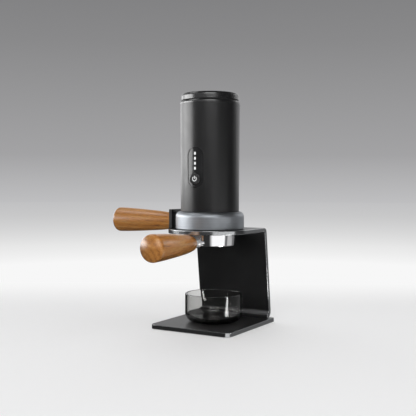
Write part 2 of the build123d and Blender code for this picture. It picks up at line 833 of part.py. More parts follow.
# Push switch on the board, behind the power button
with BuildPart() as button_switch:
    with BuildSketch(Plane.XZ.offset(board_face_y)):
        with Locations((0, button_z)):
            RectangleRounded(switch_size, switch_size, edge_soft)
    extrude(amount=switch_t)
keep(button_switch, "button_switch")

# Charging board on its boss
with BuildPart() as charge_board:
    with BuildSketch(Plane.XY.offset(port_board_z)):
        with Locations((0, port_board_y)):
            Rectangle(port_board_width, port_board_depth)
    extrude(amount=board_t)
keep(charge_board, "charge_board")

# Charging socket: a thin oval shell, open to the back
with BuildPart() as charge_port:
    with BuildSketch(Plane.XZ.offset(-(body_r_bottom - port_inset))):
        with Locations((0, port_z)):
            SlotOverall(port_width, port_h)
    extrude(amount=port_depth)
    with BuildSketch(Plane.XZ.offset(-(body_r_bottom - port_inset))):
        with Locations((0, port_z)):
            SlotOverall(port_width - 2 * port_wall, port_h - 2 * port_wall)
    extrude(amount=port_depth - port_wall, mode=Mode.SUBTRACT)
keep(charge_port, "charge_port")

# Panel: a capsule plug that follows the shell, with a fine rim and openings for the lights and the button
with BuildPart() as panel_bezel:
    with BuildSketch(Plane.XZ.offset(panel_back_y)):
        with Locations((0, panel_center_z)):
            SlotOverall(panel_h - 2 * slip, panel_width - 2 * slip, rotation=90)
    extrude(amount=panel_face_r - panel_back_y)
    with BuildSketch(Plane.XY.offset(panel_bottom)):
        Circle(panel_face_r)
    extrude(amount=panel_h, mode=Mode.INTERSECT)
    with BuildPart(mode=Mode.SUBTRACT):
        with BuildSketch(Plane.XZ.offset(panel_back_y)):
            with Locations((0, panel_center_z)):
                SlotOverall(panel_h - 2 * panel_rim, panel_width - 2 * panel_rim, rotation=90)
        extrude(amount=panel_face_r - panel_back_y)
        with BuildSketch(Plane.XY.offset(panel_bottom)):
            Circle(panel_inner_r)
        extrude(amount=panel_h, mode=Mode.SUBTRACT)
    with BuildSketch(Plane.XZ.offset(panel_back_y)):
        with Locations((0, button_z)):
            Circle(button_r + run_gap)
        with Locations(*led_centres):
            Rectangle(led_width + 2 * slip, led_h + 2 * slip)
    extrude(amount=panel_face_r - panel_back_y, mode=Mode.SUBTRACT)
keep(panel_bezel, "panel_bezel")

# Light bars that carry the board's lights to the panel's face
with BuildPart() as led_bars:
    with BuildSketch(Plane.XZ.offset(board_face_y)):
        with Locations(*led_centres):
            Rectangle(led_width, led_h)
    extrude(amount=panel_inner_r - board_face_y)
keep(led_bars, "led_bars")

# Power button: a round cap held behind the panel by its flange
with BuildPart() as power_button:
    with BuildSketch(Plane.XZ.offset(button_back_y)):
        with Locations((0, button_z)):
            Circle(button_r + run_gap + button_flange)
    extrude(amount=button_flange_t)
    with BuildSketch(Plane.XZ.offset(button_back_y)):
        with Locations((0, button_z)):
            Circle(button_r)
    extrude(amount=panel_inner_r + button_proud - button_back_y)
    fillet(power_button.faces().sort_by(Axis.Y)[0].edges(), radius=button_soft)
keep(power_button, "power_button")

# Portafilter: an open-bottomed holder with bayonet lugs, drawn out into a neck for the handle
with BuildPart() as portafilter_body:
    with BuildSketch(Plane.XZ) as section:
        with BuildLine():
            Polyline(
                (0, holder_bottom),
                (holder_bottom_r, holder_bottom),
                (holder_r, plate_bottom),
                (holder_r, holder_top),
                (0, holder_top),
                close=True,
            )
        make_face()
        fillet(section.vertices().group_by(Axis.Y)[0].sort_by(Axis.X)[-1], radius=holder_round)
    revolve(axis=Axis.Z)
    with BuildSketch(Plane.XY.offset(lug_bottom)):
        with PolarLocations(0, lug_count, start_angle=270):
            with BuildLine():
                tip = CenterArc((0, 0), lug_r, -lug_angle / 2, lug_angle)
                Polyline(tip @ 1, (0, 0), tip @ 0)
            make_face()
    extrude(amount=lug_t)
    with BuildSketch(Plane.XZ.offset(holder_bottom_r - holder_wall)):
        with Locations((0, pf_axis_z)):
            Ellipse(neck_flare, neck_flare_drop)
    with BuildSketch(Plane.XZ.offset(holder_bottom_r + neck_flare_length)):
        with Locations((0, pf_axis_z)):
            Circle(neck_waist_r)
    with BuildSketch(Plane.XZ.offset(washer_l)):
        with Locations((0, pf_axis_z)):
            Circle(neck_r)
    loft()
    with BuildSketch(Plane.XY.offset(holder_bottom + holder_lip_t)):
        Circle(holder_bore_r)
    extrude(amount=holder_top - holder_bottom - holder_lip_t, mode=Mode.SUBTRACT)
    with BuildSketch(Plane.XY.offset(holder_bottom)):
        Circle(holder_bore_r - holder_lip)
    extrude(amount=holder_lip_t, mode=Mode.SUBTRACT)
    with BuildSketch(Plane.XZ.offset(holder_bottom_r)):
        with Locations((0, pf_axis_z)):
            Circle(pf_stud_r + slip)
    extrude(amount=neck_length, mode=Mode.SUBTRACT)
keep(portafilter_body, "portafilter_body")

# Filter basket: a tapered cup with a pierced floor, hung in the holder by its rim
with BuildPart() as filter_basket:
    with BuildSketch(Plane.XZ):
        with BuildLine():
            Polyline(
                (0, basket_floor),
                (basket_r - basket_taper, basket_floor),
                (basket_r, holder_top),
                (basket_r + basket_rim_overlap + basket_gap, holder_top),
                (basket_r + basket_rim_overlap + basket_gap, basket_rim_top),
                (basket_r - basket_wall, basket_rim_top),
                (basket_r - basket_taper - basket_wall, basket_floor + basket_wall),
                (0, basket_floor + basket_wall),
                close=True,
            )
        make_face()
    revolve(axis=Axis.Z)
    with BuildSketch(Plane.XY.offset(basket_floor)):
        for ring in range(int(basket_hole_field_r / basket_hole_pitch) + 1):
            with PolarLocations(ring * basket_hole_pitch, max(1, 6 * ring)):
                Circle(basket_hole_r)
    extrude(amount=basket_wall, mode=Mode.SUBTRACT)
keep(filter_basket, "filter_basket")

# Wire clip that keeps the basket in the holder
with BuildPart() as basket_clip:
    with BuildLine(Plane.XY.offset(holder_top - clip_drop)) as wire:
        CenterArc((0, 0), basket_r + basket_gap / 2, 90 + clip_gap_angle / 2, 360 - clip_gap_angle)
    with BuildSketch(Plane(origin=wire.line @ 0, z_dir=wire.line % 0)):
        Circle(clip_wire_r)
    sweep()
keep(basket_clip, "basket_clip")

# Dark washer between the neck and the wood
with BuildPart() as handle_washer:
    with BuildSketch(Plane.XZ.offset(washer_l)):
        with Locations((0, pf_axis_z)):
            Circle(handle_washer_r)
            Circle(pf_stud_r + slip, mode=Mode.SUBTRACT)
    extrude(amount=handle_washer_t)
keep(handle_washer, "handle_washer")

# Threaded rod from the neck into the wood
with BuildPart() as portafilter_stud:
    with BuildSketch(Plane.XZ.offset(holder_bottom_r)):
        with Locations((0, pf_axis_z)):
            Circle(pf_stud_r)
    extrude(amount=pf_grip_l + pf_stud_reach - holder_bottom_r)
keep(portafilter_stud, "portafilter_stud")

# Wooden grip of the portafilter
portafilter_grip = turned_grip(
    (0, -1, 0),
    pf_axis_z,
    pf_grip_l,
    pf_grip_length,
    pf_grip_start_r,
    pf_grip_mid,
    pf_stud_r + slip,
    pf_stud_reach + slip,
)
keep(portafilter_grip, "portafilter_grip")

# Glass cup: straight sides, a deeply rounded foot and a thick floor
with BuildPart() as glass_cup:
    with BuildSketch(Plane(origin=(0, cup_y, base_top), x_dir=(1, 0, 0), z_dir=(0, -1, 0))) as section:
        with BuildLine():
            Polyline(
                (0, 0),
                (cup_r, 0),
                (cup_r, cup_h),
                (cup_r - cup_wall, cup_h),
                (cup_r - cup_wall, cup_floor),
                (0, cup_floor),
                close=True,
            )
        make_face()
        fillet(section.vertices().group_by(Axis.Y)[0].sort_by(Axis.X)[-1], radius=cup_round)
        fillet(section.vertices().group_by(Axis.Y)[-1], radius=cup_rim_round)
        inner_corner = section.vertices().sort_by_distance((cup_r - cup_wall, cup_floor))[0]
        fillet(inner_corner, radius=cup_inner_round)
    revolve(axis=Axis((0, cup_y, 0), (0, 0, 1)))
keep(glass_cup, "glass_cup")
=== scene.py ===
"""Looks of a portable espresso machine on its stand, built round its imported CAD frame."""

import math

import bmesh
import bpy
from bpy.props import FloatProperty, FloatVectorProperty, IntProperty, PointerProperty
from bpy.types import Operator, Panel, PropertyGroup
from mathutils import Matrix, Vector


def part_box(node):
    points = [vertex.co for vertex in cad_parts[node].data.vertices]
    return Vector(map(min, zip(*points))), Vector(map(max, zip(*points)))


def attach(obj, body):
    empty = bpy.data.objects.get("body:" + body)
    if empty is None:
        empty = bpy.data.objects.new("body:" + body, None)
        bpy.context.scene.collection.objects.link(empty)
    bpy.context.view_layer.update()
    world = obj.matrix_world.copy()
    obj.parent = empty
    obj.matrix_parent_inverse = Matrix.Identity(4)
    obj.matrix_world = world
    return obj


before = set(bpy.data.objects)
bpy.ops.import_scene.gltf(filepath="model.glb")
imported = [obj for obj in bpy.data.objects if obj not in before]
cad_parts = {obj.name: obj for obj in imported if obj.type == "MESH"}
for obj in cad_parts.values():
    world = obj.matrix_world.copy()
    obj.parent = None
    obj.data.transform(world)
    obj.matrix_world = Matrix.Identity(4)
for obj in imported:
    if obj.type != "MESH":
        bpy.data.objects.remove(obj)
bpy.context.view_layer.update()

bl_info = {
    "name": "Portable espresso machine",
    "version": (1, 0, 0),
    "blender": (4, 5, 0),
    "location": "3D View > Sidebar > Espresso",
    "description": "Dresses the stand, machine, portafilter and cup, and sets the studio round them",
    "category": "Object",
}

PICTURE = 416  # pixels across the square picture
SENSOR = 36.0  # millimetres across the camera's film
NECK = 0.014  # metres of satin neck between the portafilter's grip and its holder
CORNER = 0.008  # metres inwards from the base's front right corner, where the floor's bearings start
NECK_FADE = 0.002  # metres over which the neck's satin ends
RIM = (0.0006, 0.0003)  # metres inside the bent plate's outline, where its bare rim starts and is full
BEND_HIGHLIGHT_RISE = (0.0036, 0.0048, 0.0060, 0.0105)  # metres above the base, where the highlight on the foot's bend is painted
SIDE_HEART = (0.0, 0.012, 0.026)  # metres from the heart of the side grip's wood to its axis
PORTAFILTER_HEART = (0.006, 0.0, 0.010)  # the same for the portafilter's grip
BAR_MIDDLE = 0.66  # height of the power mark's bar, in radii of its ring
BAR_LENGTH = 1.34  # length of the power mark's bar, in radii of its ring
TONGUE_GAP = 0.0002  # metres from the socket's inner end to its tongue
CONTACT_STEP = 0.00026  # metres from the middle of a contact to the middle of the gap beside it
CONTACT_EDGE = (0.00011, 0.00015)  # metres from that gap's middle, where a contact begins
GUIDE_EDGE = (0.0011, 0.0018)  # metres from the middle of a light guide, over which it gets dimmer
SHARP = math.radians(35)  # steeper edges of a new piece stay sharp
UP = Vector((0.0, 0.0, 1.0))
MIDDLE = Vector((0.0, 0.0, 0.16))  # what the softboxes face
FLOOR_RADIUS = 6.0  # metres
GLOW_REACH = 0.77  # metres from the machine up to which the paper's glow is full

# Softboxes: name, turn to the left of the camera's side and rise in degrees, distance, width and height
# in metres, brightness, and the visibility that is switched off
LAMPS = (
    ("left_softbox", 95.0, 8.0, 0.90, 0.764, 0.270, 6.2, "visible_diffuse"),
    ("left_low_softbox", 105.0, -4.8, 0.90, 0.42, 0.130, 0.6, "visible_diffuse"),
    ("left_back_softbox", 136.5, 7.5, 0.90, 0.60, 0.285, 1.8, "visible_diffuse"),
    ("left_high_softbox", 104.0, 57.0, 1.10, 0.55, 0.35, 2.2, "visible_diffuse"),
    ("right_back_softbox", -122.0, 20.0, 1.10, 0.30, 0.22, 1.3, None),
    ("front_strip", -5.0, 12.2, 1.28, 0.83, 0.060, 1.7, None),
    ("front_high_softbox", 0.0, 34.0, 1.20, 0.80, 0.45, 3.3, "visible_diffuse"),
    ("front_softbox", 5.0, 18.0, 1.40, 1.00, 0.50, 7.0, "visible_glossy"),
    ("right_softbox", -70.0, 30.0, 1.30, 0.90, 0.60, 2.4, "visible_glossy"),
    ("top_softbox", 165.0, 66.0, 1.10, 1.20, 1.20, 2.1, "visible_glossy"),
)

# Where the floor shows bright cards in reflections: each window rises between its first two values and
# falls between its last two, over bearings in radians, 0 towards the camera, or places in metres.
# The patch's edge only falls. The gains are brightnesses.
PATCH_BEARING = (-0.35, -0.05, 0.75, 0.95)
PATCH_EDGE = (0.045, 0.065)
SECTOR_BEARING = (-0.12, 0.22, 1.20, 1.32)
STRIP_BEARING = (0.06, 0.20, 1.20, 1.32)
STRIP_REACH = (1.05, 1.25, 2.1, 2.5)
NEAR_REACH = (0.28, 0.32, 0.60, 0.75)
BEYOND_BEARING = (1.46, 1.54, 1.96, 2.08)
STREAK_X = (0.085, 0.095, 0.30, 0.34)
STREAK_Y = (-0.040, -0.034, -0.010, -0.004)
SECTOR_GAIN = 1.15
STRIP_GAIN = 1.9
BEYOND_GAIN = 0.45
STREAK_GAIN = 12.0


def tint(name, description, default):
    """A colour that a user may change."""
    return FloatVectorProperty(
        name=name, description=description, subtype="COLOR", size=3, min=0.0, max=1.0, default=default
    )


def length(name, description, default):
    """A length that a user may change, in metres."""
    return FloatProperty(
        name=name, description=description, unit="LENGTH", min=0.0, precision=5, default=default
    )


class FinishSettings(PropertyGroup):
    """Colours of the machine's finishes."""

    coat: tint("Powder coat", "Colour of the stand's plate and base", (0.0078, 0.0078, 0.0082))
    coat_worn: tint("Thin coat", "Colour of the coat where it lies thin", (0.018, 0.018, 0.0185))
    # Painted highlight: a lighter coat on the foot's bend stands in for the light that the bend catches.
    bend_highlight: tint("Painted bend highlight", "Colour of the coat on the foot's bend", (0.115, 0.115, 0.118))
    edge: tint("Plate edges", "Colour of the bare edges of the stand's plates", (0.55, 0.56, 0.57))
    shell: tint("Shell", "Colour of the anodised body shell", (0.0085, 0.0085, 0.0088))
    gloss: tint("Gloss black", "Colour of the lid and its ring", (0.010, 0.010, 0.0105))
    moulded: tint("Moulded black", "Colour of the moulded bracket and panel", (0.013, 0.013, 0.0135))
    alloy: tint("Collar alloy", "Colour of the satin aluminium collar", (0.44, 0.464, 0.493))
    chrome: tint("Chrome", "Colour of the polished portafilter", (0.86, 0.86, 0.87))
    steel: tint("Steel", "Colour of the plain steel pieces", (0.52, 0.52, 0.53))
    rubber: tint("Rubber", "Colour of the pads and seals", (0.016, 0.016, 0.016))
    wood_pale: tint("Pale grain", "Lightest colour of the oiled wood", (0.56, 0.27, 0.070))
    wood_mid: tint("Wood", "Main colour of the oiled wood", (0.475, 0.188, 0.032))
    wood_dark: tint("Dark grain", "Darkest colour of the oiled wood", (0.215, 0.074, 0.014))
    glass: tint("Smoked glass", "Tint of the cup's glass", (0.74, 0.74, 0.73))
    light: tint("Lights", "Colour of the light bars and the power mark", (1.0, 1.0, 1.0))
    tank: tint("Tank", "Colour of the water tank and the chassis", (0.10, 0.104, 0.11))
    board: tint("Board", "Colour of the circuit boards", (0.012, 0.075, 0.036))
    wrap: tint("Cell wrap", "Colour of the battery cells", (0.02, 0.075, 0.24))


class MarkSettings(PropertyGroup):
    """Sizes of the small pieces that are added to the frame, and of what is lit on the light bars."""

    ring_radius: length("Ring radius", "Radius of the power mark's ring", 0.00262)
    stroke: length("Stroke", "Width of the power mark's lines", 0.00082)
    raise_by: length("Raise", "How far the power mark stands out of the button", 0.00012)
    gap: FloatProperty(
        name="Gap", description="Opening at the top of the ring", subtype="ANGLE", default=math.radians(74)
    )
    steps: IntProperty(name="Steps", description="Steps round the power mark's ring", min=8, default=48)
    bar_pitch: length("Bar pitch", "Distance between the middles of the light bars", 0.0059)
    bar_height: length("Bar height", "Height of a light bar", 0.0043)
    lit_width: length("Lit width", "Width of the lit middle of a light bar", 0.0025)
    lit_height: length("Lit height", "Height of the lit middle of a light bar", 0.0035)
    lit_edge: length("Lit edge", "Width of the soft edge round the lit middle", 0.0002)
    tongue_width: length("Tongue width", "Width of the tongue in the charging socket", 0.0064)
    tongue_thick: length("Tongue thickness", "Thickness of the tongue in the charging socket", 0.0007)
    tongue_depth: length("Tongue depth", "Depth of the tongue in the charging socket", 0.0058)


class StageSettings(PropertyGroup):
    """Camera, floor and surroundings."""

    focal: FloatProperty(name="Focal length", description="In pixels of the picture", default=747.13)
    turn: FloatProperty(
        name="Turn",
        description="Camera's turn round the machine",
        subtype="ANGLE",
        default=math.radians(30.40),
    )
    away: length("Distance", "Level distance from the machine's axis", 0.91988)
    height: length("Height", "Height of the camera above the floor", 0.17811)
    sideways: FloatProperty(
        name="Sideways", description="Step to the right", unit="LENGTH", default=-0.00167
    )
    pitch: FloatProperty(
        name="Pitch",
        description="How far the camera looks down",
        subtype="ANGLE",
        default=math.radians(1.93),
    )
    roll: FloatProperty(
        name="Roll", description="Tilt of the horizon", subtype="ANGLE", default=math.radians(0.14)
    )
    centre_x: FloatProperty(name="Centre X", description="Optical centre, in pixels", default=208.54)
    centre_y: FloatProperty(name="Centre Y", description="Optical centre, in pixels", default=207.90)
    floor: tint("Floor", "Colour of the floor", (0.88, 0.88, 0.885))
    glow: tint("Glow", "Colour of the paper where it sweeps up behind the machine", (0.93, 0.93, 0.93))
    horizon: tint("Horizon", "Colour of the backdrop far behind the machine", (0.52, 0.52, 0.53))
    low_sky: tint("Low backdrop", "Colour of the backdrop above the horizon", (0.366, 0.364, 0.372))
    high_sky: tint("High backdrop", "Colour of the backdrop below its top", (0.25, 0.249, 0.254))
    sky: tint("Backdrop", "Colour of the backdrop higher up", (0.20, 0.20, 0.205))
    far_paper: tint("Far paper", "Colour of the paper far behind the machine", (0.58, 0.58, 0.585))
    mid_paper: tint("Paper", "Colour of the paper between far and near", (0.80, 0.80, 0.80))
    unlit: tint("Unlit", "Colour of the unlit studio, in reflections", (0.03, 0.03, 0.03))
    flat: tint("Side flat", "Colour of the studio flat at the front left, in reflections", (0.55, 0.55, 0.56))
    sweep: tint("Sweep", "Colour of the backdrop behind the machine, in reflections", (0.80, 0.80, 0.81))
    card: tint("White cards", "Colour of the cards on the floor, in reflections", (0.95, 0.95, 0.95))
    fill: FloatProperty(
        name="Fill", description="Strength of the even light from all sides", min=0.0, default=0.42
    )


class Wire:
    """A shader socket that takes part in arithmetic like a number."""

    def __init__(self, finish, socket):
        self.finish = finish
        self.socket = socket

    def maths(self, operation, *values):
        """Add a Math node on these values."""
        return self.finish.node("ShaderNodeMath", {"operation": operation}, dict(enumerate(values)))

    def __add__(self, other):
        return self.maths("ADD", self, other)

    __radd__ = __add__

    def __sub__(self, other):
        return self.maths("SUBTRACT", self, other)

    def __rsub__(self, other):
        return self.maths("SUBTRACT", other, self)

    def __mul__(self, other):
        return self.maths("MULTIPLY", self, other)

    __rmul__ = __mul__

    def __truediv__(self, other):
        return self.maths("DIVIDE", self, other)

    def __rtruediv__(self, other):
        return self.maths("DIVIDE", other, self)

    def __pow__(self, other):
        return self.maths("POWER", self, other)

    def __abs__(self):
        return self.maths("ABSOLUTE", self)


class Finish:
    """The nodes of one material or of the studio's surroundings."""

    def __init__(self, owner):
        self.owner = owner
        owner.use_nodes = True
        self.tree = owner.node_tree
        self.tree.nodes.clear()

    def node(self, kind, settings=None, sockets=None, output=0):
        """Add a node: its settings first, then the values or links of its sockets."""
        made = self.tree.nodes.new(kind)
        for key, value in (settings or {}).items():
            if key == "stops":
                while len(made.color_ramp.elements) < len(value):
                    made.color_ramp.elements.new(0.5)
                for stop, (place, colour) in zip(made.color_ramp.elements, value):
                    stop.position = place
                    stop.color = (*colour, 1.0)
            else:
                setattr(made, key, value)
        for key, value in (sockets or {}).items():
            if isinstance(value, Wire):
                self.tree.links.new(value.socket, made.inputs[key])
            elif made.inputs[key].type == "RGBA" and len(value) == 3:
                made.inputs[key].default_value = (*value, 1.0)
            else:
                made.inputs[key].default_value = value
        return Wire(self, made.outputs[output]) if made.outputs else None

    def place(self, scale=(1.0, 1.0, 1.0), shift=(0.0, 0.0, 0.0)):
        """The piece's own coordinates, scaled and shifted."""
        own = self.node("ShaderNodeTexCoord", output="Object")
        return self.node("ShaderNodeMapping", {}, {"Vector": own, "Scale": scale, "Location": shift})

    def axis(self, name):
        """One of the piece's own coordinates, in metres."""
        return self.node("ShaderNodeSeparateXYZ", {}, {0: self.place()}, output="XYZ".index(name))

    def along(self, direction, where=None):
        """How far a point lies along a direction."""
        return self.node(
            "ShaderNodeVectorMath",
            {"operation": "DOT_PRODUCT"},
            {0: where or self.place(), 1: direction},
            output="Value",
        )

    def distance(self, where):
        """How far a point lies from the start of its coordinates."""
        return self.node("ShaderNodeVectorMath", {"operation": "LENGTH"}, {0: where}, output="Value")

    def noise(self, where, detail, rough=0.5, warp=0.0):
        """Noise whose blotches are about 1 wide in these coordinates."""
        return self.node(
            "ShaderNodeTexNoise",
            {},
            {"Vector": where, "Scale": 1.0, "Detail": detail, "Roughness": rough, "Distortion": warp},
        )

    def even(self, size, detail):
        """Noise whose blotches are about this size, in metres."""
        return self.noise(self.place((1.0 / size,) * 3), detail)

    def ease(self, value, low, high, start=0.0, end=1.0):
        """A smooth step from start to end as value goes from low to high."""
        return self.node(
            "ShaderNodeMapRange",
            {"interpolation_type": "SMOOTHSTEP"},
            {"Value": value, "From Min": low, "From Max": high, "To Min": start, "To Max": end},
        )

    def window(self, value, rise_from, rise_to, fall_from, fall_to):
        """1 between rise_to and fall_from, easing to 0 on both sides."""
        return self.ease(value, rise_from, rise_to) * self.ease(value, fall_from, fall_to, 1.0, 0.0)

    def ramp(self, value, stops):
        """Colour that a value picks between stops."""
        return self.node("ShaderNodeValToRGB", {"stops": stops}, {"Fac": value})

    def blend(self, mask, first, second):
        """Colour that goes from first to second with the mask."""
        return self.node("ShaderNodeMix", {"data_type": "RGBA"}, {0: mask, 6: first, 7: second}, output=2)

    def bump(self, height, depth, strength):
        """Normal of a surface with this relief, its depth in metres."""
        return self.node("ShaderNodeBump", {}, {"Height": height, "Distance": depth, "Strength": strength})

    def surface(self, sockets):
        """Finish the material with one principled shader."""
        shader = self.node("ShaderNodeBsdfPrincipled", {}, sockets)
        self.node("ShaderNodeOutputMaterial", {}, {"Surface": shader})
        return self.owner


def material(name):
    """The nodes of a new material."""
    return Finish(bpy.data.materials.new(name))


def looks():
    """The settings of the finishes."""
    return bpy.context.scene.espresso_finish


def powder_coat(name, edge, bend=None):
    """Black powder coat with a fine orange peel, bare at a plate's edges, with a painted highlight on its
    bend.
    """
    make = material(name)
    fleck = make.even(0.00045, 1.0)
    peel = make.even(0.0016, 1.0)
    drift = make.even(0.030, 3.0)
    lines = make.noise(make.place((90.0, 90.0, 5200.0)), 2.0)
    bare = edge(make)
    coat = make.blend(make.ease(fleck * 0.6 + drift * 0.4, 0.42, 0.72), looks().coat, looks().coat_worn)
    if bend:
        # Painted highlight: the coat is made lighter on the foot's bend, where the light would catch it.
        coat = make.blend(bend(make), coat, looks().bend_highlight)
    cut = make.blend(lines, [part * 0.88 for part in looks().edge], looks().edge)
    coat_rough = 0.29 + fleck * 0.08 + drift * 0.06
    cut_rough = 0.14 + lines * 0.05
    return make.surface(
        {
            "Base Color": make.blend(bare, coat, cut),
            "Metallic": bare,
            "Roughness": coat_rough * (1.0 - bare) + cut_rough * bare,
            "Specular IOR Level": 0.5,
            "Normal": make.bump((peel + fleck * 0.5) * (1.0 - bare * 0.8), 0.00003, 0.5),
        }
    )


def anodised_shell(name):
    """Matt anodised tube: a fine blasted grain, faint drawing marks and a little handling."""
    make = material(name)
    grain = make.even(0.00028, 1.0)
    drawn = make.noise(make.place((900.0, 900.0, 14.0)), 2.0)
    touch = make.even(0.024, 3.0)
    shade = make.ease(grain * 0.5 + drawn * 0.5, 0.35, 0.65)
    dark = [part * 0.86 for part in looks().shell]
    light = [part * 1.25 for part in looks().shell]
    return make.surface(
        {
            "Base Color": make.blend(shade, dark, light),
            "Roughness": 0.285 + grain * 0.05 + make.ease(touch, 0.45, 0.7) * 0.035,
            "IOR": 1.60,
            "Normal": make.bump(grain + drawn * 0.4, 0.000012, 0.5),
        }
    )


def gloss_black(name):
    """Gloss moulding with the faint haze and hair scratches of use."""
    make = material(name)
    haze = make.even(0.016, 3.0)
    hair = make.noise(make.place((260.0, 260.0, 5200.0)), 2.0)
    light = [part * 1.8 for part in looks().gloss]
    return make.surface(
        {
            "Base Color": make.blend(make.ease(haze, 0.4, 0.7), looks().gloss, light),
            "Roughness": 0.21 + make.ease(haze, 0.42, 0.72) * 0.03 + make.ease(hair, 0.6, 0.75) * 0.04,
            "IOR": 1.88,
            "Normal": make.bump(make.even(0.007, 1.0), 0.00002, 0.25),
        }
    )


def moulded_black(name, rough=0.42):
    """Moulded plastic with a fine spark-eroded texture."""
    make = material(name)
    spark = make.even(0.00040, 2.0)
    flow = make.even(0.020, 2.0)
    shade = make.ease(spark * 0.5 + flow * 0.5, 0.38, 0.66)
    light = [part * 1.7 for part in looks().moulded]
    return make.surface(
        {
            "Base Color": make.blend(shade, looks().moulded, light),
            "Roughness": rough + spark * 0.08 + flow * 0.05,
            "Normal": make.bump(spark, 0.00003, 0.5),
        }
    )


def turned_alloy(name):
    """Satin aluminium with the fine rings that a lathe leaves."""
    make = material(name)
    ring = make.noise(make.place((14.0, 14.0, 5200.0)), 2.0)
    cloud = make.even(0.018, 3.0)
    pit = make.even(0.0005, 1.0)
    dark = [part * 0.86 for part in looks().alloy]
    light = [min(1.0, part * 1.10) for part in looks().alloy]
    return make.surface(
        {
            "Base Color": make.blend(make.ease(ring * 0.55 + cloud * 0.45, 0.36, 0.64), dark, light),
            "Metallic": 1.0,
            "Roughness": 0.41 + ring * 0.07 + cloud * 0.05,
            "Normal": make.bump(ring + pit * 0.4, 0.000012, 0.5),
        }
    )


def polished_chrome(name, neck_end):
    """Bright chrome with a little haze, and satin on the neck, which ends at neck_end along Y."""
    make = material(name)
    satin = make.ease(make.axis("Y"), neck_end - NECK_FADE, neck_end, 1.0, 0.0)
    haze = make.even(0.012, 3.0)
    light = [min(1.0, part * 1.05) for part in looks().chrome]
    return make.surface(
        {
            "Base Color": make.blend(haze, looks().chrome, light),
            "Metallic": 1.0 - satin * 0.6,
            "Roughness": 0.045 + make.ease(haze, 0.45, 0.75) * 0.05 + satin * 0.20,
            "Normal": make.bump(make.even(0.009, 1.0), 0.00004, 0.2),
        }
    )


def brushed_steel(name):
    """Plain steel with short brushed lines."""
    make = material(name)
    line = make.noise(make.place((300.0, 300.0, 4200.0)), 3.0)
    cloud = make.even(0.010, 2.0)
    dark = [part * 0.7 for part in looks().steel]
    return make.surface(
        {
            "Base Color": make.blend(line * 0.6 + cloud * 0.4, dark, looks().steel),
            "Metallic": 1.0,
            "Roughness": 0.26 + line * 0.14,
            "Normal": make.bump(line, 0.00001, 0.5),
        }
    )


def soft_rubber(name):
    """Matt black rubber with a fine talc bloom."""
    make = material(name)
    bloom = make.even(0.006, 3.0)
    skin = make.even(0.0004, 1.0)
    light = [part * 2.2 for part in looks().rubber]
    return make.surface(
        {
            "Base Color": make.blend(make.ease(bloom, 0.45, 0.75), looks().rubber, light),
            "Roughness": 0.72 + skin * 0.14,
            "Normal": make.bump(skin, 0.00003, 0.5),
        }
    )


def oiled_wood(name, axis, height, heart):
    """Oiled hardwood along an axis: growth rings round the heart, fibres, dark pores and slow changes."""
    make = material(name)
    shift = (heart[0], heart[1], heart[2] - height)

    def stretched(along, across):
        return make.place([along if letter == axis else across for letter in "XYZ"])

    rings = make.node(
        "ShaderNodeTexWave",
        {"wave_type": "RINGS", "rings_direction": axis, "wave_profile": "SIN"},
        {
            "Vector": make.place([0.14 if letter == axis else 1.0 for letter in "XYZ"], shift=shift),
            "Scale": 46.0,
            "Distortion": 7.0,
            "Detail": 4.0,
            "Detail Scale": 1.5,
            "Detail Roughness": 0.62,
        },
        output="Fac",
    )
    fibre = make.noise(stretched(80.0, 850.0), 4.0, 0.62)
    pore = make.noise(stretched(110.0, 1500.0), 2.0)
    figure = make.noise(stretched(30.0, 320.0), 4.0, 0.6, 0.3)
    cloud = make.noise(stretched(14.0, 30.0), 3.0)
    grain = rings * 0.17 + figure * 0.25 + fibre * 0.44 + cloud * 0.14
    colour = make.ramp(
        grain,
        [
            (0.34, looks().wood_dark),
            (0.45, looks().wood_mid),
            (0.53, looks().wood_mid),
            (0.63, looks().wood_pale),
        ],
    )
    holes = make.ease(pore, 0.57, 0.66)
    return make.surface(
        {
            "Base Color": make.blend(holes * 0.50, colour, looks().wood_dark),
            "Roughness": 0.30 + fibre * 0.14 + holes * 0.18,
            "Specular IOR Level": 0.60,
            "Coat Weight": 0.7,
            "Coat Roughness": 0.23,
            "Normal": make.bump(fibre * 0.5 + rings * 0.25 - holes * 0.7, 0.00006, 0.5),
        }
    )


def smoked_glass(name):
    """Clear pressed glass with a smoke tint and faint handling marks."""
    make = material(name)
    touch = make.even(0.014, 3.0)
    return make.surface(
        {
            "Base Color": looks().glass,
            "Transmission Weight": 1.0,
            "IOR": 1.48,
            "Roughness": make.ease(touch, 0.55, 0.8) * 0.03,
            "Normal": make.bump(make.even(0.012, 1.0), 0.00004, 0.15),
        }
    )


def lit_bar(name, strength, lit=None):
    """Milky light guide, brightest along its middle, and black where the lit mask is 0."""
    make = material(name)
    shown = lit(make) if lit else 1.0
    side = make.ease(abs(make.axis("X")), *GUIDE_EDGE, 1.0, 0.8)
    grain = make.even(0.0006, 1.0)
    glow = make.blend(side * (0.94 + grain * 0.06) * shown, (0.0, 0.0, 0.0), looks().light)
    guide = make.blend(grain, (0.20, 0.205, 0.21), (0.24, 0.245, 0.25))
    return make.surface(
        {
            "Base Color": make.blend(shown, looks().moulded, guide),
            "Roughness": 0.35 + grain * 0.1,
            "Emission Color": glow,
            "Emission Strength": strength,
        }
    )


